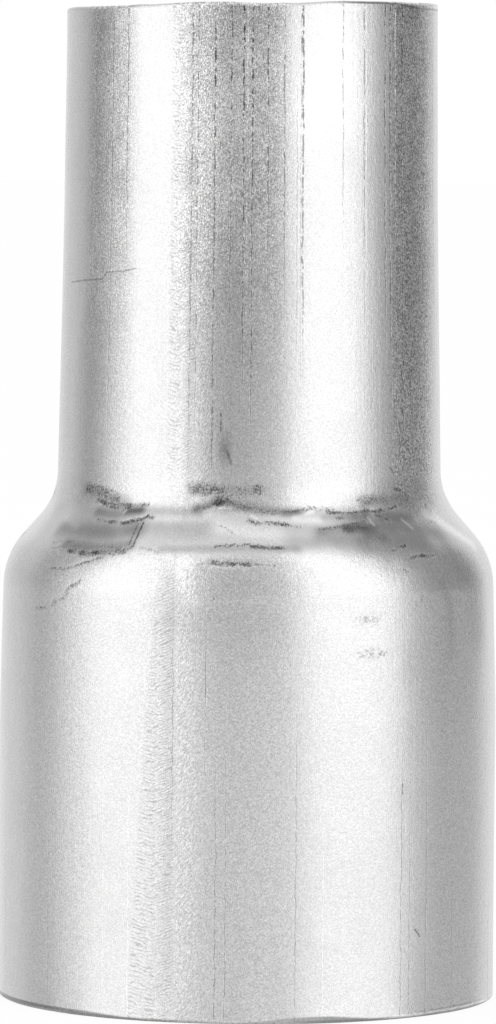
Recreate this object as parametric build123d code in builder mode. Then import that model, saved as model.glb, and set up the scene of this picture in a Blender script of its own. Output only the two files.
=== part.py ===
from build123d import *
from math import cos, radians, sin, sqrt, tan
import os

# Pipe reducer: one length of seam-welded steel tube, with one end pressed
# through dies down to the next pipe size. It stands on its large end.
# The origin is the centre of the large end's face, and +Z runs to the small end.
# The front of the tube looks along -Y. Sizes are in millimetres and degrees.

# Overall sizes
large_end_diameter = 50.8  # outside, a 2 inch tube
small_end_diameter = 38.1  # outside, a 1 1/2 inch tube
overall_length = 101.6  # 4 inches, to the long side of the small end
wall = 1.5  # sheet thickness, the same along the whole tube

# Straight ends, which a clamp or a socket grips
large_land_length = 30.0  # from the large end's face up to where its taper starts
small_land_length = 19.6  # from the small end's face down to where the neck's taper ends

# Pressed step between the two ends
shoulder_height = 45.25  # corner where the large end turns in to the cone
reduction_length = 6.15  # along the axis, from the shoulder corner to the neck corner
shoulder_radius = 8.0  # outside bend at the top of the large end
neck_radius = 7.0  # outside bend at the foot of the small end
shoulder_draw = 0.37  # how far the press has drawn in the large end at its shoulder
neck_flare = 0.6  # how much wider the small end still is at its foot, on the radius

# Ends as sawn and deburred
rim_chamfer = 0.35  # outer edge of both ends
mouth_chamfer = 0.3  # inner edge of both ends
saw_slant = 1.1  # the small end's cut is this far out of square, low on the left

# Weld seam, which runs the whole length on the left of the front
seam_direction = -111.4  # about Z from +X, where the front is at -90
crown_width = 4.2  # low crown outside, at the large end
crown_height = 0.06  # how far the crown stands out from the tube
bead_width = 2.6  # narrower bead inside, at the large end
bead_height = 0.15  # how far the bead stands in from the wall
weld_root = 0.4  # how deep crown and bead are rooted in the sheet
weld_setback = 0.8  # the weld is dressed back this far from both faces

large_radius = large_end_diameter / 2
small_radius = small_end_diameter / 2
large_bore = large_radius - wall
small_bore = small_radius - wall

# The press narrows the weld as much as it narrows the tube.
squeeze = small_end_diameter / large_end_diameter

# The saw leaves the small end's left side short.
short_side = overall_length - small_end_diameter * tan(radians(saw_slant))
saw_plane = Plane(
    origin=(0, 0, (overall_length + short_side) / 2),
    z_dir=(-sin(radians(saw_slant)), 0, cos(radians(saw_slant))),
)

# The weld lies on a half plane from the axis, between the two faces.
seam_plane = Plane.XZ.rotated((0, 0, seam_direction))
weld_foot = weld_setback
weld_top = short_side - weld_setback


def tube_line(foot, top):
    """Outside of the tube in half section, between two heights."""
    corners = [
        (large_radius, foot),
        (large_radius, large_land_length),
        (large_radius - shoulder_draw, shoulder_height),
        (small_radius + neck_flare, shoulder_height + reduction_length),
        (small_radius, overall_length - small_land_length),
        (small_radius, top),
    ]
    # The slow tapers start and end in corners of about a degree, too slight to bend.
    return FilletPolyline(*corners, radius=[0, shoulder_radius, neck_radius, 0])


def weld_path(depth):
    """Line along the seam, this deep in the sheet from the outside."""
    with BuildLine() as flat_line:
        skin = tube_line(weld_foot, weld_top)
        offset(skin, amount=depth, kind=Kind.INTERSECTION, side=Side.LEFT, closed=False)
    return seam_plane * flat_line.line


def weld_oval(height, skin_radius, inward, width, stand):
    """Flat oval across the seam, rooted in the sheet and standing out through one skin.

    Inward is 1 where it stands out into the bore and -1 where it stands out of the tube.
    Its half width allows for the curve of the skin, so that it shows as wide as asked.
    """
    skin_rise = inward * (width / 2) ** 2 / (2 * skin_radius)
    half_width = width / 2 / sqrt(1 - ((weld_root + skin_rise) / (weld_root + stand)) ** 2)
    centre = seam_plane.from_local_coords(Vector(skin_radius + inward * weld_root, height))
    with BuildSketch(Plane(origin=centre, x_dir=seam_plane.z_dir)) as oval:
        Ellipse(half_width, weld_root + stand)
    return oval.sketch.face()


with BuildPart() as reducer:
    # Tube wall, turned about the axis and sawn off at the small end
    with BuildSketch(seam_plane) as wall_section:
        with BuildLine() as wall_outline:
            outside = tube_line(0, overall_length)
            offset(outside, amount=wall, kind=Kind.INTERSECTION, side=Side.LEFT)
        make_face()
    revolve(axis=Axis.Z)
    split(bisect_by=saw_plane, keep=Keep.BOTTOM)

    # Rims, broken outside and cut back inside
    rims = reducer.faces().filter_by(GeomType.PLANE).sort_by(Axis.Z)
    chamfer(rims[0].outer_wire().edges() + rims[-1].outer_wire().edges(), rim_chamfer)
    rims = reducer.faces().filter_by(GeomType.PLANE).sort_by(Axis.Z)
    chamfer(rims[0].inner_wires()[0].edges() + rims[-1].inner_wires()[0].edges(), mouth_chamfer)

    # Weld crown outside
    crown = [
        weld_oval(weld_foot, large_radius, -1, crown_width, crown_height),
        weld_oval(weld_top, small_radius, -1, crown_width * squeeze, crown_height),
    ]
    sweep(sections=crown, path=weld_path(weld_root), multisection=True)

    # Weld bead inside
    bead = [
        weld_oval(weld_foot, large_bore, 1, bead_width, bead_height),
        weld_oval(weld_top, small_bore, 1, bead_width * squeeze, bead_height),
    ]
    sweep(sections=bead, path=weld_path(wall - weld_root), multisection=True)

reducer.part.label = "reducer"

os.makedirs("parts", exist_ok=True)
export_step(reducer.part, "parts/reducer.step")
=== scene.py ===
from math import cos, pi, radians, sin, tan

import bpy
import numpy as np
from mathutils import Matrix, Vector


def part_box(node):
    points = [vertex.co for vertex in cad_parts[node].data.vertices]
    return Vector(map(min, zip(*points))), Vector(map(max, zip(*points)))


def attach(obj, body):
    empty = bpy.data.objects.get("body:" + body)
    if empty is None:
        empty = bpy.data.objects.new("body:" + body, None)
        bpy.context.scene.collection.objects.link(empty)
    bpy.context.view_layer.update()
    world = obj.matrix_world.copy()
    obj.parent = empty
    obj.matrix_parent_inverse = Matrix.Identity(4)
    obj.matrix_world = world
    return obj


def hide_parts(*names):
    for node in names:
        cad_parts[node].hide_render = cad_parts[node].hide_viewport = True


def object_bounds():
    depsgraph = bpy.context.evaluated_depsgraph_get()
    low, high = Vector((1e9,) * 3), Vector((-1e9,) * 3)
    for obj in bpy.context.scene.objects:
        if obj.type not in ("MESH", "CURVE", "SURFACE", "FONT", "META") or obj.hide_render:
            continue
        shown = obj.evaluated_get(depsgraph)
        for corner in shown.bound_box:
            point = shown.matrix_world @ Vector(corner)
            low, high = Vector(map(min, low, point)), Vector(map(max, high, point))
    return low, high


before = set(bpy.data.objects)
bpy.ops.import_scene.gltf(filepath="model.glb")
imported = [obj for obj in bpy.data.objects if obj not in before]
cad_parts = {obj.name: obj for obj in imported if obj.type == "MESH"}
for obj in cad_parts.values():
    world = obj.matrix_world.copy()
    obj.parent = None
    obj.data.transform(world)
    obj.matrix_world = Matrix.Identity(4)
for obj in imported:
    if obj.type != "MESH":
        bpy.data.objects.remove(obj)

# A pipe reducer pressed from seam-welded steel tube.
# Lengths in the dictionaries are millimetres. Angles are degrees, and those round the
# tube run from its front (-Y) to the right, so 90 is +X and 180 is the back.
mm = 0.001
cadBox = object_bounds()
scene = bpy.context.scene
scene.view_settings.view_transform = "Standard"


# Camera

photoView = {
    "place": (-1.80, -702.3, 87.3),
    "lookDown": 3.076,
    "turnRight": 0.117,
    "lean": 0.40,  # the picture leans this much
    "lens": 241.3,  # focal length for a 36 mm long side
}


def makeCamera(view):
    data = bpy.data.cameras.new("photoCamera")
    data.lens = view["lens"]
    data.sensor_width = 36
    data.clip_start = 0.01
    data.clip_end = 50
    camera = bpy.data.objects.new("photoCamera", data)
    camera.location = Vector(view["place"]) * mm
    camera.rotation_euler = (
        radians(90 - view["lookDown"]),
        radians(-view["lean"]),
        radians(-view["turnRight"]),
    )
    scene.collection.objects.link(camera)
    scene.camera = camera
    return camera


makeCamera(photoView)
print("camera ready")


# Tube shape

boxLow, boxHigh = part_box("reducer")
tube = {
    "largeRadius": (boxHigh.x - boxLow.x) / 2 / mm,
    "top": boxHigh.z / mm,  # highest point of the sawn end
    "smallRadius": 19.05,
    "wall": 1.5,
    "footStraight": 30.0,  # the large end is straight up to here
    "shoulderHeight": 45.25,
    "neckFootHeight": 51.4,
    "neckStraight": 82.0,  # the small end is straight from here
    "shoulderDraw": 0.37,
    "neckFlare": 0.6,
    "taperBend": 260.0,
    "shoulderBend": 8.0,
    "neckBend": 7.0,
    "edgeRound": 0.35,
    "mouthBevel": 0.3,
    "sawSlant": 1.1,  # the sawn end is this far out of square, low on the left
    "topDraw": 0.15,  # the sizing die leaves the sawn end this much tighter, on the radius
    "stepTilt": 0.2,  # the step sits this much lower on the left than on the right
}
weld = {
    "angle": -21.6,
    "halfWidth": 4.75,  # degrees, the same on both ends because the press narrows it too
    "crown": 0.045,
    "bead": 0.15,
    "beadHalfWidth": 3.1,
}
meshPlan = {
    "columns": ((72, 0.5), (104, 0.8), (180, 1.3)),  # out to each angle, this far apart
    "plainRow": 2.4,
    "stepRow": 0.155,
    "stepFrom": 40.2,
    "stepTo": 54.4,
    "boreRow": 3.0,
    "edgeSteps": 4,
}


def bentLine(corners, bends, steps=16):
    # half section of the tube's outside, each corner turned by an arc of its own radius
    line = [Vector(corners[0])]
    for i, bend in enumerate(bends, 1):
        corner = Vector(corners[i])
        back = (Vector(corners[i - 1]) - corner).normalized()
        ahead = (Vector(corners[i + 1]) - corner).normalized()
        half = back.angle(ahead) / 2
        centre = corner + (back + ahead).normalized() * (bend / sin(half))
        start = corner + back * (bend / tan(half)) - centre
        end = corner + ahead * (bend / tan(half)) - centre
        for k in range(steps + 1):
            line.append(centre + start.lerp(end, k / steps).normalized() * bend)
    line.append(Vector(corners[-1]))
    return np.array([point.x for point in line]), np.array([point.y for point in line])


def outsideLine(size):
    corners = [
        (size["largeRadius"], 0),
        (size["largeRadius"], size["footStraight"]),
        (size["largeRadius"] - size["shoulderDraw"], size["shoulderHeight"]),
        (size["smallRadius"] + size["neckFlare"], size["neckFootHeight"]),
        (size["smallRadius"], size["neckStraight"]),
        (size["smallRadius"], size["top"] + 1),
    ]
    bends = [size["taperBend"], size["shoulderBend"], size["neckBend"], size["taperBend"]]
    return bentLine(corners, bends)


def insideLine(size):
    # the bore follows the outside at the wall's depth
    radii, heights = outsideLine(size)
    denseHeights = np.linspace(0, heights[-1], 2000)
    denseRadii = np.interp(denseHeights, heights, radii)
    slope = np.gradient(denseRadii, denseHeights)
    tilt = np.sqrt(1 + slope**2)
    return denseRadii - size["wall"] / tilt, denseHeights + size["wall"] * slope / tilt


def rowHeights(start, plan):
    # each stretch of rows ends at a height and has its own spacing
    heights = [start]
    for end, gap in plan:
        count = max(1, round(abs(end - heights[-1]) / gap))
        heights += list(np.linspace(heights[-1], end, count + 1)[1:])
    return heights


def smooth(t):
    t = np.clip(t, 0, 1)
    return t * t * (3 - 2 * t)


def cos2(t):
    # hump from -1 to 1 with smooth edges
    return np.cos(np.clip(t, -1, 1) * pi / 2) ** 2


def turned(angle, centre):
    # angle from centre, the short way round
    return (angle - centre + 180) % 360 - 180


def softNoise(angle, height, cellsAround, cellHeight, seed):
    # smooth random field from -1 to 1 that closes round the tube
    rng = np.random.default_rng(seed)
    cells = rng.uniform(-1, 1, (int(120 / cellHeight) + 4, cellsAround))
    a = (angle % 360) / 360 * cellsAround
    b = np.clip(height, -1, 110) / cellHeight + 1.5
    a0 = np.floor(a).astype(int)
    b0 = np.floor(b).astype(int)
    ta = smooth(a - a0)
    tb = smooth(b - b0)
    a1 = (a0 + 1) % cellsAround
    a0 = a0 % cellsAround
    low = cells[b0, a0] * (1 - ta) + cells[b0, a1] * ta
    high = cells[b0 + 1, a0] * (1 - ta) + cells[b0 + 1, a1] * ta
    return low * (1 - tb) + high * tb


# How far the sawn edge stands over a straight cut, as (angle, millimetres)

sawnEdge = [
    (-180, 0.0),
    (-60, 0.05),
    (-34, 0.0),
    (-19, 0.21),
    (-8, 0.16),
    (5, -0.08),
    (14, -0.05),
    (24, 0.12),
    (38, 0.24),
    (50, 0.3),
    (90, 0.3),
    (130, 0.0),
    (180, 0.0),
]

# Lines that the dies and rollers leave, as (angle, darkness, from height, to height)

lineReach = 0.75  # a line wanders this many degrees to each side at most
lineFade = 16.0  # and fades out over this length

neckLines = [
    (-55.9, 0.5, 60, 102),
    (-47.4, 0.6, 52, 102),
    (-41.0, 0.48, 68, 102),
    (-18.2, 0.7, 50, 102),
    (-16.4, 0.7, 54, 102),
    (-11.2, 1.0, 46, 102),
    (-6.2, 0.9, 62, 102),
    (-1.4, -0.3, 60, 102),
    (-2.5, 1.0, 54, 102),
    (0.1, 1.0, 50, 102),
    (4.8, 0.9, 66, 102),
    (9.8, 0.7, 64, 102),
    (13.6, 0.4, 60, 100),
    (15.5, 0.8, 60, 102),
    (28.6, 0.4, 70, 102),
    (36.3, 0.5, 62, 102),
    (37.3, -0.3, 62, 102),
    (44.6, 0.9, 60, 102),
    (46.9, 0.9, 54, 102),
    (52.6, 1.0, 50, 102),
    (55.6, 0.8, 74, 102),
    (49.4, -0.5, 70, 102),
    (61.4, 0.8, 64, 102),
    (65.5, 0.6, 74, 102),
]
barrelLines = [
    (-51.9, 0.5, 0, 26),
    (-34.6, -0.4, 0, 36),
    (-27.9, -0.5, 0, 28),
    (-17.2, 0.6, 12, 47),
    (-10.2, 0.3, 0, 24),
    (-9.6, 0.9, 20, 48),
    (-7.2, 0.75, 0, 34),
    (-4.9, 0.7, 0, 36),
    (10.9, 0.55, 0, 38),
    (17.2, -0.45, 0, 28),
    (37.4, 0.5, 0, 34),
    (39.8, 0.5, 0, 28),
    (45.0, 0.6, 0, 32),
    (54.5, 0.35, 0, 28),
]


def backLines(low, high, count, seed):
    # the same kind of lines on the side that faces away
    rng = np.random.default_rng(seed)
    lines = []
    for angle in np.linspace(78, 282, count) + rng.uniform(-4, 4, count):
        reach = rng.uniform(0.6, 1.1) * (high - low)
        foot = low if low < 10 else high - reach
        lines.append((float(angle), rng.uniform(0.3, 1.0), foot, foot + reach))
    return lines


# Dark, grainy scuffs of the press, as points of (angle, height), width, depth and darkness

scuffs = [
    # at the foot of the neck
    ([(-55, 52.5), (-49, 52.3), (-42, 51.7)], 1.1, 0.0, 0.8),
    ([(-49, 51.4), (-45, 51.0), (-41, 50.85), (-36.5, 50.95)], 0.6, 0.02, 1.0),
    ([(-37, 51.0), (-30, 51.2)], 0.36, 0.0, 0.5),
    ([(-16, 52.85), (-9, 52.8), (3, 52.8)], 1.1, 0.0, 0.76),
    ([(-9, 52.1), (0, 52.5)], 0.8, 0.0, 0.74),
    ([(-15, 51.0), (-11, 51.25), (-8.5, 51.7)], 0.4, 0.02, 0.75),
    ([(-9.5, 51.5), (-5.8, 51.7), (-4, 51.3), (0, 50.95), (3, 50.75)], 0.62, 0.03, 1.0),
    ([(1, 50.8), (4, 50.7), (7, 50.65)], 0.48, 0.02, 1.0),
    ([(7, 50.65), (12, 50.75), (17.2, 50.9)], 0.24, 0.02, 0.65),
    ([(17, 51.05), (24.5, 50.8)], 0.45, 0.0, 0.5),
    ([(22.5, 50.6), (28, 50.55), (36, 50.6)], 0.26, 0.02, 0.85),
    ([(34.5, 50.6), (39, 50.65), (43.5, 50.9), (46.8, 50.95)], 0.36, 0.03, 1.0),
    ([(34, 51.5), (41, 51.9), (48.5, 51.9), (53, 51.5)], 1.0, 0.0, 0.6),
    ([(47.5, 52.85), (50, 52.45), (53.8, 51.9)], 0.42, 0.03, 1.0),
    ([(60.8, 51.2), (60.5, 50.6)], 0.32, 0.02, 0.9),
    # on the cone
    ([(-46, 49.5), (-40, 49.3), (-35, 49.35), (-31.5, 49.75), (-28, 50.0)], 0.42, 0.03, 1.0),
    ([(-8.2, 49.4), (-6.2, 49.1), (-4.2, 48.65)], 0.18, 0.01, 0.7),
    ([(0.2, 49.9), (2.2, 49.65), (5, 49.6), (10, 49.5)], 0.44, 0.03, 1.0),
    ([(10, 49.5), (13.5, 49.15)], 0.28, 0.01, 0.55),
    ([(19, 49.1), (24, 49.2), (29, 49.45), (32.8, 49.6)], 0.34, 0.02, 0.7),
    ([(26, 48.95), (34.5, 49.0)], 0.8, 0.0, 0.5),
    ([(31.5, 48.2), (35.5, 48.2)], 0.6, 0.0, 0.35),
    ([(24.5, 50.05), (26.8, 50.0)], 0.28, 0.0, 0.7),
    ([(37.5, 50.2), (39.8, 50.0), (41.5, 49.7)], 0.45, 0.0, 0.85),
    ([(41.8, 48.8), (44, 48.7), (43, 48.4)], 0.2, 0.01, 0.7),
    ([(54.5, 49.3), (60.5, 49.2)], 0.28, 0.01, 0.55),
    # round the shoulder
    ([(-58, 47.0), (-50, 47.3)], 0.26, 0.01, 0.75),
    ([(-56.2, 46.55), (-50.5, 46.75)], 0.24, 0.01, 0.65),
    ([(-49.2, 46.4), (-45, 46.3), (-40, 46.3), (-35, 46.45), (-32, 46.7)], 0.56, 0.03, 1.0),
    ([(-32, 46.7), (-30, 47.2)], 0.28, 0.02, 0.75),
    ([(-45, 47.05), (-38, 46.95), (-32, 46.95)], 0.24, 0.01, 0.65),
    ([(-28, 47.1), (-25.5, 46.95), (-22.5, 46.7)], 0.22, 0.01, 0.55),
    ([(-54.5, 44.6), (-51, 44.55), (-48, 44.75), (-45, 45), (-42, 45.45), (-38, 45.9)], 0.3, 0.015, 0.84),
    ([(-58, 40.45), (-54, 40.55), (-51.5, 41.15), (-47, 41.75), (-45.8, 42.6), (-42.8, 43.45)], 0.42, 0.0, 0.72),
    ([(-8, 47.35), (-4.8, 47.5), (0, 47.6)], 0.34, 0.02, 1.0),
    ([(0.8, 47.35), (4.5, 47.3), (8.2, 47.25)], 0.42, 0.03, 1.0),
    ([(-12.5, 45.65), (-10.2, 45.75)], 0.22, 0.0, 0.6),
    ([(-8.4, 45.8), (-5.5, 45.72), (-2.2, 45.7), (0.3, 45.5)], 0.48, 0.05, 1.0),
    ([(1.6, 45.6), (3.2, 45.55)], 0.24, 0.01, 0.8),
    ([(4.0, 45.6), (6.4, 45.55)], 0.26, 0.01, 0.85),
    ([(33, 46.8), (37.2, 46.75)], 0.24, 0.0, 0.6),
    ([(37.2, 46.75), (39.8, 47.1), (42, 47.25)], 0.42, 0.02, 1.0),
    ([(42.5, 46.1), (45.8, 46.25), (50.3, 46.1)], 0.44, 0.02, 0.95),
    ([(36.8, 45), (39, 44.95), (41, 44.8)], 0.22, 0.01, 0.7),
    ([(44, 43), (43.8, 41)], 0.34, 0.0, 0.5),
    ([(62.2, 46.4), (61.3, 46.0)], 0.24, 0.0, 0.7),
    ([(-7, 43.05), (-7.3, 42.55), (-8, 42.15)], 0.18, 0.01, 0.85),
]

# Painted shade and painted highlights between them, standing in for the reflections that the uneven step and neck give,
# with a few dark smears among them: soft darker and paler patches, as points, width and change of tone

paintedLightAndSmears = [
    ([(-47, 50.25), (-39, 50.15), (-32, 50.65)], 1.0, -0.42),
    ([(-58, 48.5), (-44, 48.4), (-31.5, 48.5)], 2.1, -0.42),
    ([(-52, 47.0), (-40, 46.7), (-31, 47.2)], 1.1, -0.42),
    ([(-56, 52.4), (-47, 51.8), (-38, 51.3)], 1.2, -0.28),
    ([(-15, 51.0), (-8.5, 51.6), (-4, 51.3), (3, 50.8), (14, 50.65)], 1.0, -0.38),
    ([(-16, 52.8), (3, 52.8)], 0.9, -0.14),
    ([(-8.8, 58.4), (-7.4, 57.2)], 1.1, -0.42),
    ([(-22, 46.9), (-12, 47.1), (0, 47.2), (12, 47.1)], 0.8, -0.26),
    ([(19, 48.9), (29, 49.3), (32, 49.4)], 1.0, -0.24),
    ([(27, 49.0), (34.5, 49.1)], 1.1, -0.4),
    ([(32.5, 48.5), (36, 48.1)], 1.2, -0.24),
    ([(35, 51.5), (41, 51.7), (53, 51.4)], 1.1, -0.28),
    ([(39, 50.2), (50, 49.9)], 1.1, -0.26),
    ([(38, 49.1), (46, 48.9), (58, 48.4)], 2.4, -0.34),
    ([(37, 47.5), (49, 47.3)], 1.6, -0.24),
    ([(-31, 49.2), (-22, 48.9), (-13, 48.9)], 2.2, -0.24),
    ([(21, 50.0), (27, 50.0), (34, 50.0)], 0.8, -0.28),
    ([(12, 48.3), (20, 48.2), (31, 47.9)], 2.4, -0.4),
    ([(-36, 50.6), (-24, 50.6), (-14, 50.5)], 1.1, -0.4),
    ([(10, 50.5), (24, 50.5), (34, 50.5)], 1.0, -0.34),
    ([(-8, 49.2), (2, 48.6), (15, 48.4)], 1.3, 0.24),
    ([(-16, 45.6), (-13, 42)], 1.6, 0.14),
    ([(12.5, 50.15), (17.8, 50.65)], 0.4, 0.22),
    ([(60, 50.4), (66, 48.6), (74, 46.8)], 1.5, 0.3),
    ([(-60, 49.4), (-52, 48.7)], 0.8, 0.14),
    ([(-8, 57), (-6, 72)], 9.0, -0.24),
    ([(58, 56), (60, 74)], 7.0, -0.2),
    ([(60, 46.5), (66, 43), (68, 38)], 4.0, -0.22),
    ([(-56, 54), (-54, 68)], 5.0, -0.14),
    ([(-20.2, 54), (-19.6, 100)], 2.6, 0.2),
    ([(-14, 92), (14, 92)], 9.0, 0.1),
    ([(38, 94), (46, 94)], 9.0, 0.1),
    ([(-17, 40), (3, 39.5)], 4.0, -0.1),
    ([(38, 35.0), (50, 34.4), (60, 34.0)], 0.7, -0.12),
    ([(51, 43), (53.5, 41), (54, 37.5)], 1.2, -0.12),
    # painted highlights on nicks that catch the light
    ([(-8.5, 51.05), (-5, 51.05)], 0.2, 0.4),
    ([(-37.5, 50.3), (-36.8, 50.6)], 0.2, 0.4),
    ([(0.5, 50.3), (2.0, 50.05)], 0.2, 0.35),
    ([(34.6, 50.0), (35.4, 49.3)], 0.26, 0.6),
    ([(46.4, 49.7), (48.4, 48.8)], 0.26, 0.6),
    ([(64, 50.3), (64, 49.85)], 0.2, 0.4),
    ([(-49, 43.5), (-48.8, 43.5)], 0.16, 0.4),
]


def backMarks(seed):
    # broken rings of scuffs, with soft painted shade, at the heights where the front has them
    rng = np.random.default_rng(seed)
    strokes = []
    paintedShadeStrokes = []
    for height, spread, count in ((51.0, 0.35, 8), (49.5, 0.4, 4), (46.6, 0.4, 7), (45.4, 0.4, 3)):
        for angle in np.linspace(96, 258, count):
            start = angle + rng.uniform(-6, 6)
            reach = rng.uniform(6, 24)
            slant = rng.uniform(-0.2, 0.2)
            level = height + rng.uniform(-spread, spread)
            points = [(start + reach * k / 4, level + slant * k + rng.uniform(-0.12, 0.12)) for k in range(5)]
            strokes.append((points, rng.uniform(0.25, 0.7), rng.uniform(0.01, 0.03), rng.uniform(0.4, 0.85)))
            paintedShadeStrokes.append((points, rng.uniform(0.6, 1.3), rng.uniform(-0.3, -0.1)))
    return strokes, paintedShadeStrokes


def strokeReach(angle, along, radius, points, alongAt):
    # distance in millimetres over the surface from each vertex to a stroke
    nearest = np.full(angle.shape, 1e3)
    for (angleA, heightA), (angleB, heightB) in zip(points, points[1:]):
        ax = radians(1) * turned(angleA, angle) * radius
        bx = ax + radians(1) * (angleB - angleA) * radius
        ay = np.interp(heightA, *alongAt) - along
        by = np.interp(heightB, *alongAt) - along
        dx = bx - ax
        dy = by - ay
        t = np.clip(-(ax * dx + ay * dy) / np.maximum(dx**2 + dy**2, 1e-9), 0, 1)
        nearest = np.minimum(nearest, np.hypot(ax + t * dx, ay + t * dy))
    return nearest


def columnAngles():
    angles = [0.0]
    for reach, gap in meshPlan["columns"]:
        count = round((reach - angles[-1]) / gap)
        angles += list(np.linspace(angles[-1], reach, count + 1)[1:])
    half = np.array(angles)
    return np.concatenate([half, -half[1:-1][::-1]]) % 360


def makeTube():
    column = columnAngles()
    outRadii, outHeights = outsideLine(tube)
    inRadii, inHeights = insideLine(tube)
    edge, bevel, steps = tube["edgeRound"], tube["mouthBevel"], meshPlan["edgeSteps"]
    top = tube["top"]

    # one loop of rows: up the outside, over the sawn rim, down the bore and under the foot
    outsideRows = rowHeights(edge, [
        (edge + 0.5, 0.1),
        (meshPlan["stepFrom"], meshPlan["plainRow"]),
        (meshPlan["stepTo"], meshPlan["stepRow"]),
        (top - edge - 0.6, meshPlan["plainRow"]),
        (top - edge, 0.1),
    ])
    rows = [(np.interp(h, outHeights, outRadii), h, "outside") for h in outsideRows]
    turns = [pi / 2 * k / steps for k in range(1, steps + 1)]
    rimOuter = tube["smallRadius"] - edge
    rimInner = tube["smallRadius"] - tube["wall"] + bevel
    rows += [(rimOuter + edge * cos(t), top - edge + edge * sin(t), "rim") for t in turns]
    rows += [(rimOuter + (rimInner - rimOuter) * k / 3, top, "rim") for k in (1, 2, 3)]
    boreRows = rowHeights(top - bevel, [
        (meshPlan["stepTo"], meshPlan["boreRow"]),
        (meshPlan["stepFrom"] - 2, 0.7),
        (bevel, meshPlan["boreRow"]),
    ])
    rows += [(np.interp(h, inHeights, inRadii), h, "bore") for h in boreRows]
    footInner = tube["largeRadius"] - tube["wall"] + bevel
    footOuter = tube["largeRadius"] - edge
    rows += [(footInner + (footOuter - footInner) * k / 3, 0, "foot") for k in range(4)]
    rows += [(footOuter + edge * sin(t), edge - edge * cos(t), "foot") for t in turns[:-1]]

    side = np.array([row[2] for row in rows])
    radius = np.array([[row[0]] for row in rows]) + np.zeros(len(column))
    height = np.array([[row[1]] for row in rows]) + np.zeros(len(column))
    angle = np.zeros(radius.shape) + column
    outside = (side == "outside")[:, None]
    bore = (side == "bore")[:, None]

    # length along the outside, which the marks of the step are measured in
    pieces = np.hypot(np.diff(outRadii), np.diff(outHeights))
    alongAt = (outHeights, np.concatenate([[0], np.cumsum(pieces)]))
    along = np.interp(height, *alongAt)

    # the step is slightly out of true and the sawn end slightly tight
    leftness = (1 - np.sin(np.radians(angle))) / 2
    lowered = tube["stepTilt"] * leftness * smooth((height - 40) / 5) * smooth((60 - height) / 6)
    stepRadius = np.interp(height + lowered, outHeights, outRadii)
    radius = np.where(outside, stepRadius, radius)
    tight = tube["topDraw"] * smooth((height - 82) / 18)

    relief = -tight
    scuff = np.zeros(radius.shape)
    paintedLightAndSmearTone = np.zeros(radius.shape)

    # the dies leave the tube slightly uneven, most of all on the pressed cone
    atStep = smooth((height - 43.5) / 2.5) * smooth((53.5 - height) / 2.5)
    relief += 0.035 * softNoise(angle, height, 14, 19.0, 3)
    relief += 0.008 * softNoise(angle, height, 46, 31.0, 4)
    relief += atStep * 0.05 * softNoise(angle, height, 26, 2.6, 5)
    relief += atStep * 0.02 * softNoise(angle, height, 90, 1.1, 6)

    across = turned(angle, weld["angle"])
    fade = smooth((height - 0.6) / 0.8) * smooth((top - 1.4 - height) / 0.8)
    crown = smooth(1.6 * (1 - np.abs(across) / weld["halfWidth"]))
    bead = cos2(across / weld["beadHalfWidth"])
    relief += fade * (outside * weld["crown"] * crown - bore * weld["bead"] * bead)

    # how dark the nearest die line is, and how far across it each point lies
    nearest = np.full(radius.shape, 9.0)
    lineDark = np.zeros(radius.shape)
    for centre, darkness, foot, head in neckLines + barrelLines + backLines(56, 102, 12, 11) + backLines(0, 34, 10, 12):
        start = smooth((height - foot) / lineFade) if foot > 0 else 1
        end = smooth((head - height) / lineFade) if head < top else 1
        offset = turned(angle, centre) / lineReach + np.zeros(radius.shape)
        closer = outside & (np.abs(offset) < np.abs(nearest)) & (start * end > 0)
        nearest = np.where(closer, offset, nearest)
        strength = darkness * start * end * np.clip((1 - np.abs(offset)) / 0.3, 0, 1)
        lineDark = np.where(closer, strength, lineDark)
    nearest = np.clip(nearest, -2, 2)

    # the press's marks, which waver and come and go
    backStrokes, backPaintedShades = backMarks(21)
    wavered = angle + 0.5 * softNoise(angle, height, 260, 0.9, 31)
    alongWavered = along + 0.10 * softNoise(angle, height, 220, 0.8, 32)
    comeAndGo = 0.85 + 0.3 * softNoise(angle, height, 170, 0.7, 33)
    for points, width, depth, darkness in scuffs + backStrokes:
        reach = strokeReach(wavered, alongWavered, radius, points, alongAt)
        near = smooth(1.15 - reach / width) * comeAndGo
        relief -= outside * depth * near
        scuff = np.maximum(scuff, outside * darkness * near)
    # painted shade and painted highlights, with the few smears, laid on as a change of tone
    for points, width, change in paintedLightAndSmears + backPaintedShades:
        near = smooth(1 - strokeReach(angle, along, radius, points, alongAt) / width)
        paintedLightAndSmearTone += outside * change * near

    # the foot's edge is filed, with a burr above it further on. The filed band is painted shade, wider to the right
    # of the front, with a darker painted shade line along the very edge, and the burr gets a painted highlight as well
    # as its relief
    atFoot = (side == "foot")[:, None] | (outside & (height < 1.5))
    toRight = turned(angle, 0) + np.zeros(radius.shape)
    edgeHeight = edge * (0.85 + 0.3 * softNoise(angle, height, 28, 60.0, 41))
    edgeHeight += 0.5 * cos2((toRight - 15.5) / 19) + 0.34 * smooth((-22 - toRight) / 20)
    filed = 0.32 + 0.26 * smooth((np.abs(toRight + 3) - 10) / 12)
    paintedFootShade = smooth((edgeHeight - height) / 0.12)
    paintedEdgeShade = smooth(1 - height / 0.14)
    paintedLightAndSmearTone -= atFoot * np.maximum(filed * paintedFootShade, (filed + 0.3) * paintedEdgeShade)
    burrSpan = smooth((toRight - 34) / 6) * smooth((76 - toRight) / 6)
    burrAndGlint = burrSpan * smooth(1 - np.abs(height - edgeHeight - 0.12) / 0.16)
    burrAndGlint = burrAndGlint * (0.5 + 0.5 * softNoise(angle, height, 420, 60.0, 42))
    # painted highlight on the burr
    paintedLightAndSmearTone += atFoot * burrAndGlint
    relief += outside * 0.14 * burrAndGlint
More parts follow.
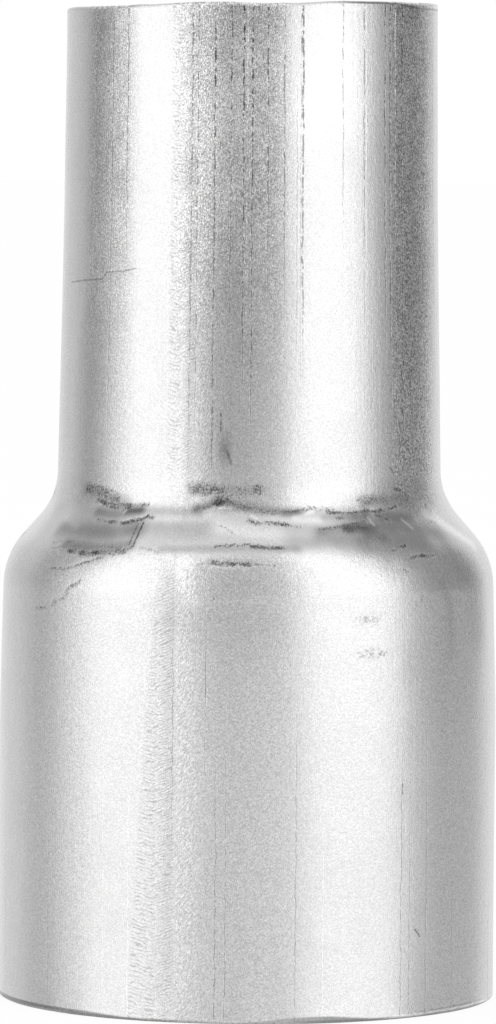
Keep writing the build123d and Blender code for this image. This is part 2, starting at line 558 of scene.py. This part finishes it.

    # the sawn end's outer edge is painted as if rounded over most on the right: a painted shade line where the rounding
    # would end and a painted highlight above it
    atTop = (outside & (height > top - 1.5)) | (side == "rim")[:, None]
    paintedRounding = 0.15 + 0.5 * smooth((toRight - 44) / 22)
    onRight = smooth((toRight - 20) / 16) * (toRight < 110)
    paintedRimLine = smooth(1 - np.abs(height - top + paintedRounding) / 0.15)
    paintedLightAndSmearTone -= (0.8 - 0.3 * smooth((toRight - 42) / 20)) * atTop * onRight * paintedRimLine
    paintedLightAndSmearTone += 0.25 * atTop * smooth((toRight - 46) / 10) * (toRight < 110) * smooth((height - top + paintedRounding - 0.1) / 0.15)
    paintedLightAndSmearTone = np.clip(paintedLightAndSmearTone, -0.85, 0.6)

    # the bore carries the same uneven wall, the rims are only slightly wavy
    radius = radius + np.where(outside | bore, relief, -tight)
    rimWave = 0.05 * softNoise(angle, height, 40, 60.0, 8) + 0.02 * softNoise(angle, height, 150, 60.0, 9)
    footEdge = (side == "foot")[:, None]
    rimEdge = (side == "rim")[:, None]
    height = height + rimWave * rimEdge - np.minimum(rimWave, 0) * footEdge * 0.6

    # the saw leaves the left side of the small end short
    x = radius * np.sin(np.radians(angle))
    drop = (tube["smallRadius"] - edge - x) * tan(radians(tube["sawSlant"]))
    uneven = np.interp(turned(angle, 0), *zip(*sawnEdge))
    towardsSawn = np.clip((height - tube["neckStraight"]) / (top - tube["neckStraight"]), 0, 1)
    height = height + (np.minimum(uneven, drop) - drop) * towardsSawn
    y = -radius * np.cos(np.radians(angle))

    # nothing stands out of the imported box
    low, high = [np.array(corner) / mm for corner in cadBox]
    points = np.clip(np.stack([x, y, height], -1), low, high).reshape(-1, 3) * mm

    rowCount, columnCount = angle.shape
    index = np.arange(rowCount * columnCount).reshape(rowCount, columnCount)
    nextRow = np.roll(index, -1, axis=0)
    quads = np.stack([index, np.roll(index, -1, axis=1), np.roll(nextRow, -1, axis=1), nextRow], -1)
    mesh = bpy.data.meshes.new("reducerTube")
    mesh.from_pydata(points.tolist(), [], quads.reshape(-1, 4).tolist())
    surface = {"lineDark": lineDark, "lineAcross": nearest, "scuff": scuff, "paintedLightAndSmearTone": paintedLightAndSmearTone}
    for name, values in surface.items():
        attribute = mesh.attributes.new(name, "FLOAT", "POINT")
        attribute.data.foreach_set("value", values.astype(np.float32).ravel())

    # skin, sawn rims and bore have their own finishes
    finish = {"outside": 0, "rim": 1, "foot": 1, "bore": 2}
    rowFinish = np.array([finish[s] for s in side])
    rowFinish[len(outsideRows) - 1] = 1
    mesh.polygons.foreach_set("material_index", np.repeat(rowFinish, columnCount))
    mesh.shade_smooth()
    mesh.validate()
    mesh.update()
    piece = bpy.data.objects.new("reducerTube", mesh)
    scene.collection.objects.link(piece)
    print("tube", len(mesh.vertices), "points,", len(mesh.polygons) * 2, "triangles,", columnCount, "columns")
    return piece


# Steel

skinLook = {
    "colour": 0.66,
    "roughness": 0.27,
    "peel": 0.017,  # height of the orange peel
    "grain": 0.011,  # height of the finer grain
    "streak": 0.008,  # height of the fine die lines
    "mottle": 0.05,  # how much the tone varies in clouds
    "sand": 0.25,  # how much it varies from grain to grain
    "pits": 0.62,  # how dark the pits are where the dies rubbed
}
rimLook = {
    "colour": 0.62,
    "roughness": 0.36,
    "peel": 0.02,
    "grain": 0.010,
    "streak": 0.0,
    "mottle": 0.10,
    "sand": 0.3,
    "pits": 0.0,
}
boreLook = {
    "colour": 0.52,
    "roughness": 0.42,
    "peel": 0.03,
    "grain": 0.012,
    "streak": 0.010,
    "mottle": 0.10,
    "sand": 0.5,
    "pits": 0.2,
}
# where the dies rubbed the neck hardest, as (angle, half width)
rubbed = [(-7, 17), (-49, 10), (62, 14)]

# Marks away from the step, as points of (angle, height), width and darkness

scratches = [
    ([(-71, 73.1), (-59.5, 73.4), (-51, 73.55), (-49, 74.25), (-42, 74.4), (-37, 74.7)], 0.13, 0.5),
    ([(-6.6, 56.6), (-5.4, 55.4)], 0.2, 0.5),
    ([(-8.6, 60.4), (-8.6, 58.6)], 0.14, 0.5),
    ([(-31.3, 49.3), (-31.2, 47.3)], 0.11, 0.6),
    ([(-29.8, 49.4), (-29.9, 47.2)], 0.13, 0.8),
    ([(37.5, 23.6), (37.5, 22.6)], 0.14, 0.5),
    ([(41.5, 8.9), (43.0, 8.15)], 0.16, 0.6),
    ([(46.0, 54.9), (47.5, 54.3)], 0.2, 0.5),
]
# clusters of specks, as angles from and to, heights from and to
specks = [
    (24, 32.5, 39.4, 40.9),
    (23.5, 34.5, 36.1, 37.3),
]


def feed(tree, socket, value):
    if isinstance(value, bpy.types.NodeSocket):
        tree.links.new(value, socket)
    else:
        socket.default_value = value


def calc(tree, operation, *values, clamp=False):
    node = tree.nodes.new("ShaderNodeMath")
    node.operation = operation
    node.use_clamp = clamp
    for socket, value in zip(node.inputs, values):
        feed(tree, socket, value)
    return node.outputs[0]


def vector(tree, x, y, z):
    node = tree.nodes.new("ShaderNodeCombineXYZ")
    for socket, value in zip(node.inputs, (x, y, z)):
        feed(tree, socket, value)
    return node.outputs[0]


def ease(tree, value, low, high, toLow=0.0, toHigh=1.0):
    node = tree.nodes.new("ShaderNodeMapRange")
    node.interpolation_type = "SMOOTHSTEP"
    for socket, number in zip(node.inputs, (value, low, high, toLow, toHigh)):
        feed(tree, socket, number)
    return node.outputs[0]


def noise(tree, place, scale, detail=2.0, roughness=0.5, distortion=0.0):
    node = tree.nodes.new("ShaderNodeTexNoise")
    feed(tree, node.inputs["Vector"], place)
    node.inputs["Scale"].default_value = scale
    node.inputs["Detail"].default_value = detail
    node.inputs["Roughness"].default_value = roughness
    node.inputs["Distortion"].default_value = distortion
    return node.outputs["Fac"]


def grains(tree, place, scale):
    # a random value for each small cell
    node = tree.nodes.new("ShaderNodeTexVoronoi")
    feed(tree, node.inputs["Vector"], place)
    node.inputs["Scale"].default_value = scale
    split = tree.nodes.new("ShaderNodeSeparateColor")
    tree.links.new(node.outputs["Color"], split.inputs[0])
    return split.outputs[0]


def attribute(tree, name):
    node = tree.nodes.new("ShaderNodeAttribute")
    node.attribute_name = name
    return node.outputs["Fac"]


def addUp(tree, values):
    total = values[0]
    for value in values[1:]:
        total = calc(tree, "ADD", total, value)
    return total


def product(tree, values):
    total = values[0]
    for value in values[1:]:
        total = calc(tree, "MULTIPLY", total, value)
    return total


def surfaceCoordinates(tree):
    # height in millimetres, the angle from the front in degrees, and a place on a cylinder
    # of the large end's size that every texture is spread over
    coordinates = tree.nodes.new("ShaderNodeTexCoord")
    split = tree.nodes.new("ShaderNodeSeparateXYZ")
    tree.links.new(coordinates.outputs["Object"], split.inputs[0])
    x, y, z = split.outputs
    height = calc(tree, "DIVIDE", z, mm)
    turn = calc(tree, "ARCTAN2", x, calc(tree, "MULTIPLY", y, -1.0))
    angle = calc(tree, "MULTIPLY", turn, 180 / pi)
    radius = tube["largeRadius"]
    wrapX = calc(tree, "MULTIPLY", calc(tree, "SINE", turn), radius)
    wrapY = calc(tree, "MULTIPLY", calc(tree, "COSINE", turn), radius)
    return {"angle": angle, "height": height, "wrapX": wrapX, "wrapY": wrapY}


def spread(tree, at, heightScale):
    return vector(tree, at["wrapX"], at["wrapY"], calc(tree, "MULTIPLY", at["height"], heightScale))


def within(tree, value, low, high, soft):
    # 1 between low and high, with soft edges
    middle = (low + high) / 2
    half = (high - low) / 2
    away = calc(tree, "ABSOLUTE", calc(tree, "SUBTRACT", value, middle))
    return ease(tree, away, half + soft, max(half - soft, 0))


def scratchMask(tree, at, points, width):
    # 1 on a line through the points, 0 from its width on
    perDegree = radians(1) * (tube["smallRadius"] if points[0][1] > 49 else tube["largeRadius"])
    nearest = 1e3
    for (angleA, heightA), (angleB, heightB) in zip(points, points[1:]):
        dx = (angleB - angleA) * perDegree
        dy = heightB - heightA
        px = calc(tree, "MULTIPLY_ADD", at["angle"], perDegree, -angleA * perDegree)
        py = calc(tree, "SUBTRACT", at["height"], heightA)
        reach = calc(tree, "MULTIPLY_ADD", py, dy, calc(tree, "MULTIPLY", px, dx))
        t = calc(tree, "DIVIDE", reach, dx**2 + dy**2, clamp=True)
        offX = calc(tree, "MULTIPLY_ADD", t, -dx, px)
        offY = calc(tree, "MULTIPLY_ADD", t, -dy, py)
        square = calc(tree, "MULTIPLY_ADD", offX, offX, calc(tree, "MULTIPLY", offY, offY))
        nearest = calc(tree, "MINIMUM", calc(tree, "SQRT", square), nearest)
    return ease(tree, nearest, width, width * 0.3)


def makeSteel(name, look):
    material = bpy.data.materials.new(name)
    material.use_nodes = True
    tree = material.node_tree
    shader = tree.nodes["Principled BSDF"]
    at = surfaceCoordinates(tree)
    place = spread(tree, at, 1.0)
    long = spread(tree, at, 0.02)
    longBroken = spread(tree, at, 0.25)

    clouds = noise(tree, place, 0.22, 4.0, 0.6)
    peel = noise(tree, place, 2.0, 2.0, 0.55)
    grain = noise(tree, place, 8.0, 1.0, 0.6)
    sand = grains(tree, place, 9.5)
    grit = grains(tree, place, 6.5)
    fineLines = noise(tree, long, 2.6, 4.0, 0.65)
    flecks = noise(tree, longBroken, 5.0, 2.0, 0.7)
    coarse = noise(tree, place, 4.8, 3.0, 0.75)
    fine = noise(tree, place, 6.6, 2.0, 0.7)

    # the press burnished the cone
    burnish = within(tree, at["height"], 46.6, 50.8, 0.7)
    rougher = calc(tree, "MULTIPLY_ADD", burnish, -0.6, 1.0)

    # die lines wander and break up along their length
    wander = calc(tree, "MULTIPLY_ADD", noise(tree, spread(tree, at, 0.8), 0.8, 2.0, 0.6), 1.6, -0.8)
    offLine = calc(tree, "ABSOLUTE", calc(tree, "SUBTRACT", attribute(tree, "lineAcross"), wander))
    lineDark = attribute(tree, "lineDark")
    onNeck = ease(tree, at["height"], 47.0, 56.0)
    offLine = calc(tree, "MULTIPLY", offLine, calc(tree, "MULTIPLY_ADD", onNeck, -0.75, 1.85))
    core = ease(tree, calc(tree, "MULTIPLY_ADD", calc(tree, "ABSOLUTE", lineDark), -0.3, offLine), 0.24, 0.0)
    gap = calc(tree, "MULTIPLY_ADD", onNeck, 0.11, noise(tree, spread(tree, at, 1.2), 0.9, 3.0, 0.75))
    gap = calc(tree, "MULTIPLY_ADD", onNeck, -0.16, gap)
    breaks = ease(tree, gap, 0.36, 0.50)
    towardsTop = ease(tree, at["height"], 78.0, 97.0, 0.7, 1.0)
    dotted = ease(tree, coarse, 0.34, 0.52, 0.7, 1.0)
    dieLine = product(tree, [lineDark, core, breaks, towardsTop, dotted])

    # scuffs break into grains where they thin out
    scuffed = attribute(tree, "scuff")
    grainy = calc(tree, "MULTIPLY_ADD", sand, 0.25, calc(tree, "MULTIPLY", coarse, 1.5))
    edge = calc(tree, "MULTIPLY_ADD", scuffed, 0.55, grainy)
    scuff = calc(tree, "MULTIPLY", ease(tree, edge, 1.06, 1.4), ease(tree, scuffed, 0.02, 0.25))
    scuffCore = ease(tree, edge, 1.3, 1.6)

    # weld ripples, which meet at an angle near the middle of the band, and file marks beside it
    across = calc(tree, "SUBTRACT", at["angle"], weld["angle"])
    leftSlope = calc(tree, "MULTIPLY", calc(tree, "MINIMUM", across, 0.0), 0.09)
    rightSlope = calc(tree, "MULTIPLY", calc(tree, "MAXIMUM", across, 0.0), -0.18)
    bowed = addUp(tree, [at["height"], leftSlope, rightSlope])
    bend = noise(tree, vector(tree, calc(tree, "MULTIPLY", across, 0.22), 0.0, bowed), 1.1, 2.0, 0.6)
    finer = ease(tree, across, 0.2, 1.4)
    bentBy = calc(tree, "MULTIPLY", bend, 20.0)
    leftWave = calc(tree, "SINE", calc(tree, "MULTIPLY_ADD", bowed, 16.0, bentBy))
    rightWave = calc(tree, "SINE", calc(tree, "MULTIPLY_ADD", bowed, 22.0, bentBy))
    toRightWave = calc(tree, "MULTIPLY", calc(tree, "SUBTRACT", rightWave, leftWave), finer)
    wave = calc(tree, "ADD", leftWave, toRightWave)
    offStep = calc(tree, "MAXIMUM", ease(tree, at["height"], 51.5, 54.0), ease(tree, at["height"], 46.0, 44.5))
    leftEdge = calc(tree, "MINIMUM", calc(tree, "MULTIPLY_ADD", at["height"], 0.15, -6.8), 0.0)
    leftEdge = calc(tree, "MULTIPLY_ADD", onNeck, -3.6, leftEdge)
    rightOfEdge = ease(tree, calc(tree, "SUBTRACT", across, leftEdge), -0.3, 0.9)
    band = product(tree, [rightOfEdge, ease(tree, across, 5.4, 4.2), offStep])
    strength = ease(tree, noise(tree, place, 0.9, 3.0, 0.65), 0.32, 0.62, 0.15, 1.0)
    rippled = product(tree, [wave, strength, band])
    crest = product(tree, [ease(tree, wave, 0.45, 0.95), strength, band])
    upwards = calc(tree, "MULTIPLY_ADD", at["height"], 0.79, calc(tree, "MULTIPLY", across, 0.27))
    sideways = calc(tree, "MULTIPLY_ADD", at["height"], 0.62, calc(tree, "MULTIPLY", across, -0.35))
    fileMarks = noise(tree, vector(tree, calc(tree, "MULTIPLY", upwards, 0.3), 0.0, sideways), 6.0, 1.0, 0.5)
    beside = product(tree, [ease(tree, across, 4.6, 6.0), ease(tree, across, 13.5, 8.0), offStep])
    filed = calc(tree, "MULTIPLY", calc(tree, "SUBTRACT", fileMarks, 0.5), beside)

    # pits where the dies rubbed
    pitted = 0.0
    for angle, halfWidth in rubbed:
        area = within(tree, at["angle"], angle - halfWidth, angle + halfWidth, 4.0)
        pitted = calc(tree, "MAXIMUM", area, pitted)
    pitted = calc(tree, "MULTIPLY", pitted, ease(tree, at["height"], 56.0, 84.0, 0.3, 1.0))
    pits = ease(tree, addUp(tree, [calc(tree, "MULTIPLY", clouds, 0.3), calc(tree, "MULTIPLY", sand, 0.2), fine]), 0.74, 0.88)
    pits = calc(tree, "MULTIPLY", pits, pitted)

    # coarser grit where the neck turns away on the right
    onRight = product(tree, [within(tree, at["angle"], 47, 71, 4.0), onNeck])

    # scratches and specks away from the step
    marks = 0.0
    broken = ease(tree, coarse, 0.36, 0.52)
    smudge = noise(tree, spread(tree, at, 1.4), 1.7, 5.0, 0.85)
    for points, width, darkness in scratches:
        scratch = product(tree, [scratchMask(tree, at, points, width), broken, darkness])
        marks = calc(tree, "MAXIMUM", scratch, marks)
    for start, end, foot, head in specks:
        along = within(tree, at["angle"], start, end, 3.0)
        area = product(tree, [along, within(tree, at["height"], foot, head, 0.7)])
        spotted = calc(tree, "MULTIPLY_ADD", sand, 0.22, smudge)
        dots = ease(tree, calc(tree, "MULTIPLY_ADD", area, 0.14, spotted), 0.77, 0.85)
        marks = calc(tree, "MAXIMUM", product(tree, [dots, area, 0.62]), marks)

    heights = [
        product(tree, [peel, rougher, look["peel"]]),
        product(tree, [grain, rougher, look["grain"]]),
        calc(tree, "MULTIPLY", fineLines, look["streak"]),
        calc(tree, "MULTIPLY", rippled, 0.006),
        calc(tree, "MULTIPLY", filed, 0.03),
        calc(tree, "MULTIPLY", dieLine, -0.04),
        calc(tree, "MULTIPLY", scuff, -0.012),
    ]
    bump = tree.nodes.new("ShaderNodeBump")
    bump.inputs["Strength"].default_value = 1.0
    bump.inputs["Distance"].default_value = mm
    feed(tree, bump.inputs["Height"], addUp(tree, heights))

    sandy = product(tree, [calc(tree, "SUBTRACT", sand, 0.5), rougher, look["sand"]])
    sandy = calc(tree, "MULTIPLY", sandy, calc(tree, "MULTIPLY_ADD", pitted, 3.4, 1.0))
    gritty = product(tree, [calc(tree, "SUBTRACT", grit, 0.5), onRight, 1.2])
    tones = [
        calc(tree, "MULTIPLY_ADD", clouds, 2 * look["mottle"], look["colour"] - look["mottle"]),
        calc(tree, "ADD", sandy, 1.0),
        calc(tree, "ADD", gritty, 1.0),
        calc(tree, "MULTIPLY_ADD", dieLine, -0.85, 1.0),
        calc(tree, "MULTIPLY_ADD", scuff, -0.62, 1.0),
        calc(tree, "MULTIPLY_ADD", scuffCore, -0.65, 1.0),
        calc(tree, "MULTIPLY_ADD", pits, -look["pits"], 1.0),
        calc(tree, "SUBTRACT", 1.0, marks),
        calc(tree, "MULTIPLY_ADD", crest, -0.34, 1.0),
        calc(tree, "MULTIPLY_ADD", filed, 0.8, 1.0),
        # the tube's painted shade and painted highlights, with its few smears, darken and lighten the colour
        calc(tree, "ADD", attribute(tree, "paintedLightAndSmearTone"), 1.0),
    ]
    tone = calc(tree, "MINIMUM", product(tree, tones), 0.9)
    colour = tree.nodes.new("ShaderNodeCombineColor")
    for socket in colour.inputs:
        feed(tree, socket, tone)

    rough = calc(tree, "MULTIPLY_ADD", flecks, 0.10, look["roughness"] - 0.05)
    rough = calc(tree, "MULTIPLY_ADD", band, 0.03, rough)
    rough = calc(tree, "MULTIPLY_ADD", scuff, 0.2, rough)

    shader.inputs["Metallic"].default_value = 1.0
    feed(tree, shader.inputs["Base Color"], colour.outputs[0])
    feed(tree, shader.inputs["Roughness"], rough)
    feed(tree, shader.inputs["Normal"], bump.outputs[0])
    return material


reducer = makeTube()
for steelName, look in (("drawnSkin", skinLook), ("sawnRim", rimLook), ("bore", boreLook)):
    reducer.data.materials.append(makeSteel(steelName, look))
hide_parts("reducer")
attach(reducer, "root")
print("steel ready")


# Studio

studio = {
    "lampLevel": 1.0,  # the room's own light on the object
    "floorColour": 0.92,
    "floorGlow": 0.9,  # how far the floor is lifted to white
    "floorSize": 30.0,
}
# soft boxes at (angle, distance, height, wide, tall, power), in degrees, metres and watts
softBoxes = {
    "leftBox": (-57, 0.75, 0.75, 0.74, 1.56, 2.1),
    "rightBox": (48, 0.75, 0.80, 0.63, 1.66, 2.08),
}
# cards that stand round the tube and lie on the floor before it, to shape its
# reflections: from and to angle, height in metres, level upright and level on the floor
cards = {
    "frontCard": (-29, 25, 1.35, 0.74, 1.0),
    "leftFlag": (-133, -94, 1.25, 0.51, 0.70),
    "leftBackCard": (-156, -128, 1.25, 0.76, 0.85),
    "rightFlag": (73, 142, 1.5, 0.37, 0.66),
    "leftFloor": (-88, -28, 0, 0, 1.3),
    "rightFloor": (20, 78, 0, 0, 1.3),
    "middleShade": (-20, 2, 1.35, 0.60, 0.90),
}
cardDistance = 0.95
cardFoot = 0.0256  # how near to the tube's axis the part on the floor starts


def seenWhite(tree):
    # the camera, the metal's reflections and anything seen through all see plain white
    path = tree.nodes.new("ShaderNodeLightPath")
    seen = calc(tree, "MAXIMUM", path.outputs["Is Camera Ray"], path.outputs["Is Glossy Ray"])
    return calc(tree, "MAXIMUM", seen, path.outputs["Is Transmission Ray"])


def makeWorld():
    world = bpy.data.worlds.new("studioRoom")
    scene.world = world
    world.use_nodes = True
    tree = world.node_tree
    background = tree.nodes["Background"]
    background.inputs["Color"].default_value = (1, 1, 1, 1)
    level = calc(tree, "MULTIPLY_ADD", seenWhite(tree), 1 - studio["lampLevel"], studio["lampLevel"])
    feed(tree, background.inputs["Strength"], level)


def makeFloor():
    half = studio["floorSize"] / 2
    mesh = bpy.data.meshes.new("floor")
    corners = [(-half, -half, 0), (half, -half, 0), (half, half, 0), (-half, half, 0)]
    mesh.from_pydata(corners, [], [(0, 1, 2, 3)])
    floor = bpy.data.objects.new("floor", mesh)
    scene.collection.objects.link(floor)
    material = bpy.data.materials.new("paleFloor")
    material.use_nodes = True
    tree = material.node_tree
    tree.nodes.remove(tree.nodes["Principled BSDF"])
    matt = tree.nodes.new("ShaderNodeBsdfDiffuse")
    matt.inputs["Color"].default_value = (studio["floorColour"],) * 3 + (1,)
    glow = tree.nodes.new("ShaderNodeEmission")
    glow.inputs["Strength"].default_value = 1.0
    mix = tree.nodes.new("ShaderNodeMixShader")
    feed(tree, mix.inputs[0], calc(tree, "MULTIPLY", seenWhite(tree), studio["floorGlow"]))
    tree.links.new(matt.outputs[0], mix.inputs[1])
    tree.links.new(glow.outputs[0], mix.inputs[2])
    tree.links.new(mix.outputs[0], tree.nodes["Material Output"].inputs["Surface"])
    mesh.materials.append(material)


def makeSoftBox(name, angle, distance, height, wide, tall, power):
    lamp = bpy.data.lights.new(name, "AREA")
    lamp.shape = "RECTANGLE"
    lamp.size = wide
    lamp.size_y = tall
    lamp.energy = power
    box = bpy.data.objects.new(name, lamp)
    turn = radians(angle)
    box.location = (sin(turn) * distance, -cos(turn) * distance, height)
    box.rotation_euler = (radians(90), 0, turn)
    box.visible_camera = False
    scene.collection.objects.link(box)


def glowing(name, level):
    # glows at this level, and thins out towards the card's sides
    material = bpy.data.materials.new(name)
    material.use_nodes = True
    tree = material.node_tree
    tree.nodes.remove(tree.nodes["Principled BSDF"])
    glow = tree.nodes.new("ShaderNodeEmission")
    glow.inputs["Strength"].default_value = level
    clear = tree.nodes.new("ShaderNodeBsdfTransparent")
    mix = tree.nodes.new("ShaderNodeMixShader")
    feed(tree, mix.inputs[0], attribute(tree, "solid"))
    tree.links.new(clear.outputs[0], mix.inputs[1])
    tree.links.new(glow.outputs[0], mix.inputs[2])
    tree.links.new(mix.outputs[0], tree.nodes["Material Output"].inputs["Surface"])
    return material


def makeCard(name, order, start, end, head, level, floorLevel):
    # a card bent round the tube, with a second part on the floor, seen in reflections only
    mesh = bpy.data.meshes.new(name)
    steps = 16
    distance = cardDistance - 0.01 * order
    lift = 0.00004 * (order + 1)
    points = []
    solid = []
    for k in range(steps + 1):
        turn = radians(start + (end - start) * k / steps)
        # next to the tube the part on the floor lies where the front sees it mirrored
        points.append((sin(turn / 2) * cardFoot, -cos(turn / 2) * cardFoot, lift))
        points.append((sin(turn) * distance, -cos(turn) * distance, lift))
        points.append((sin(turn) * distance, -cos(turn) * distance, head))
        solid += [min(k, steps - k, 3) / 3] * 3
    onFloor = [(3 * k, 3 * k + 3, 3 * k + 4, 3 * k + 1) for k in range(steps)]
    upright = [(3 * k + 1, 3 * k + 4, 3 * k + 5, 3 * k + 2) for k in range(steps)]
    if head == 0:
        upright = []
    mesh.from_pydata(points, [], onFloor + upright)
    mesh.attributes.new("solid", "FLOAT", "POINT").data.foreach_set("value", solid)
    mesh.materials.append(glowing(name + "Floor", floorLevel))
    mesh.materials.append(glowing(name, level))
    mesh.polygons.foreach_set("material_index", [0] * len(onFloor) + [1] * len(upright))
    card = bpy.data.objects.new(name, mesh)
    scene.collection.objects.link(card)
    card.visible_camera = False
    card.visible_diffuse = False
    card.visible_shadow = False


makeWorld()
makeFloor()
for boxName, place in softBoxes.items():
    makeSoftBox(boxName, *place)
for order, (cardName, place) in enumerate(cards.items()):
    makeCard(cardName, order, *place)
print("studio ready")
